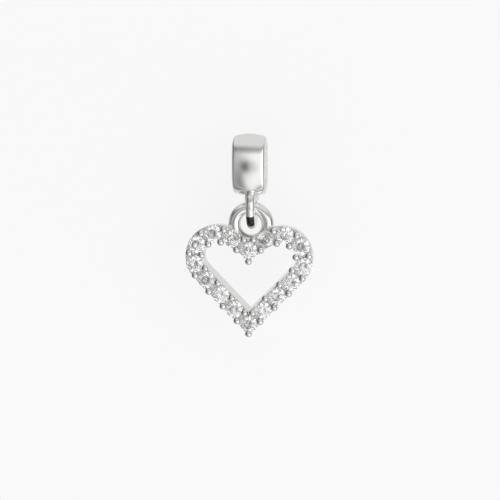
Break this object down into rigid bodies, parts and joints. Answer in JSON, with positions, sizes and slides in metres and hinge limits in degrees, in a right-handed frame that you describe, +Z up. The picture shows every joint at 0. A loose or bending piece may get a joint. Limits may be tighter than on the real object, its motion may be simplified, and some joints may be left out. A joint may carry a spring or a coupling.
{
  "type": "heart charm",
  "caption": "Small open heart set with clear round brilliants, hanging by a ring from the loop of a domed oval band that slides on a chain or bracelet.",
  "frame": {"origin": "centre of the round top of the band's opening, where the chain or bracelet bears", "axes": "+Z up, the stones face -Y, +X to the right of a viewer who faces the stones, along the band's opening"},
  "size_m": [0.0124, 0.0036, 0.0196],
  "materials": {
    "silver": "polished",
    "stone": "faceted"
  },
  "bodies": {
    "bail": {"bail": "silver"},
    "heart": {"heart_frame": "silver", "stone_01": "stone", "stone_02": "stone", "stone_03": "stone", "stone_04": "stone", "stone_05": "stone", "stone_06": "stone", "stone_07": "stone", "stone_08": "stone", "stone_09": "stone", "stone_10": "stone", "stone_11": "stone", "stone_12": "stone", "stone_13": "stone", "stone_14": "stone", "stone_15": "stone", "stone_16": "stone"}
  },
  "joints": [
    {"name": "heart_swing", "type": "hinge", "parent": "bail", "child": "heart", "pos_m": [0, 0, -0.00541], "axis": [1, 0, 0], "range_deg": [-120, 112]}
  ]
}
